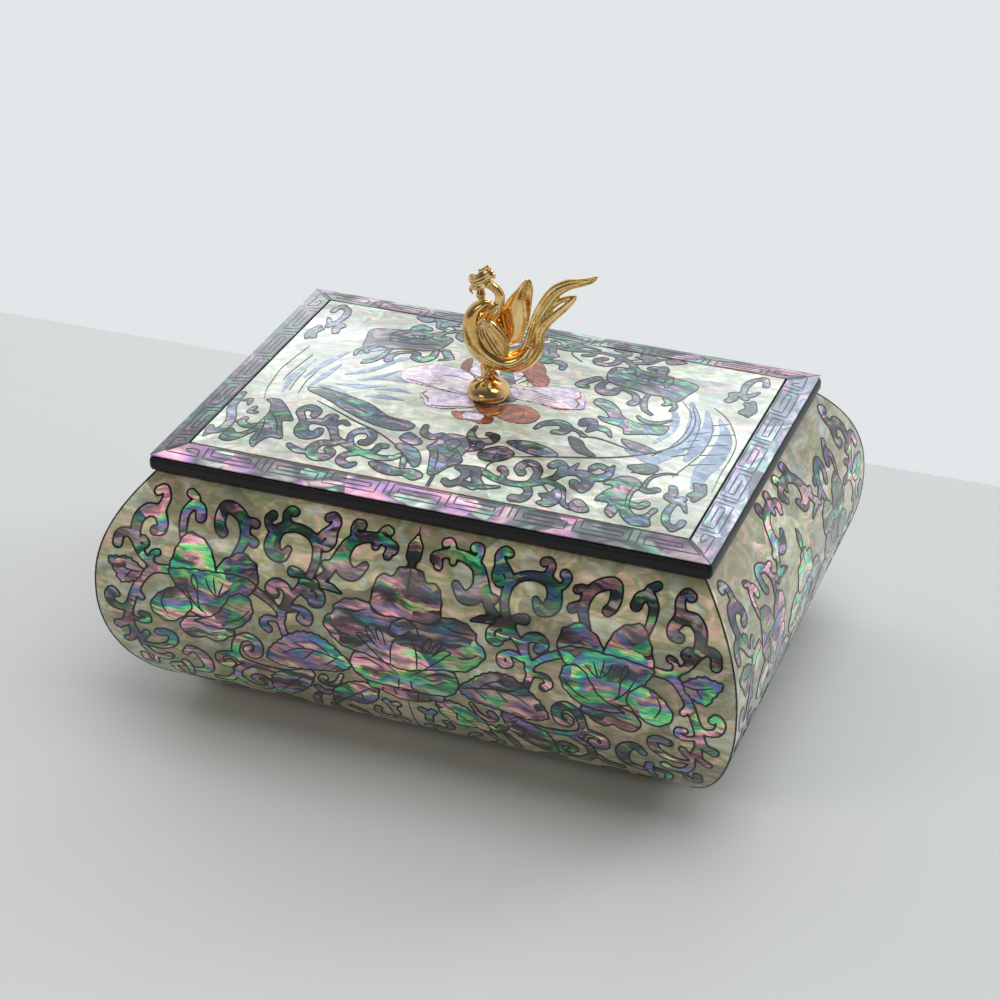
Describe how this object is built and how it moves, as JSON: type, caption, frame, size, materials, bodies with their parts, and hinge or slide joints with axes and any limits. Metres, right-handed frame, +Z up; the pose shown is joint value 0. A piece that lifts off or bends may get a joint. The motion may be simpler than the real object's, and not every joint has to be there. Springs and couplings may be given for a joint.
{
  "type": "business card box",
  "caption": "Low box with bellied pearl-veneered walls, a lift-off lid with a rounded black edge and cushioned top, and a cast gilt phoenix knob.",
  "frame": {"origin": "on the table, under the middle of the box", "axes": "+X to the right along the long side, +Y from the front wall to the back wall, +Z up; the bird looks to -X"},
  "size_m": [0.1506, 0.1132, 0.1027],
  "materials": {
    "lacquer": "shaped wood under black satin-gloss lacquer",
    "wall_pearl": "inlaid abalone and mother-of-pearl sheet under clear gloss lacquer",
    "lid_pearl": "inlaid abalone and mother-of-pearl sheet under clear gloss lacquer",
    "border_pearl": "pink and violet abalone sheet with a fine fret, under clear gloss lacquer",
    "velvet": "short-pile wine velvet on card",
    "felt": "black wool felt",
    "gilt": "polished gilt casting",
    "steel": "plain bright screw steel"
  },
  "bodies": {
    "box": {"base_felt": "felt", "base_board": "lacquer", "wall_front": "lacquer", "wall_right": "lacquer", "wall_back": "lacquer", "wall_left": "lacquer", "shell_front": "wall_pearl", "shell_right": "wall_pearl", "shell_back": "wall_pearl", "shell_left": "wall_pearl", "lining_front": "velvet", "lining_right": "velvet", "lining_back": "velvet", "lining_left": "velvet", "floor_pad": "velvet"},
    "lid": {"lid_board": "lacquer", "lid_border_front": "border_pearl", "lid_border_right": "border_pearl", "lid_border_back": "border_pearl", "lid_border_left": "border_pearl", "lid_panel": "lid_pearl", "lid_lip_front": "lacquer", "lid_lip_right": "lacquer", "lid_lip_back": "lacquer", "lid_lip_left": "lacquer", "lid_pad": "velvet", "knob_screw": "steel", "knob_washer": "steel", "phoenix_knob": "gilt"}
  },
  "joints": [
    {"name": "lid_lift", "type": "slide", "parent": "box", "child": "lid", "axis": [0, 0, 1], "range_m": [0, 0.08]}
  ]
}
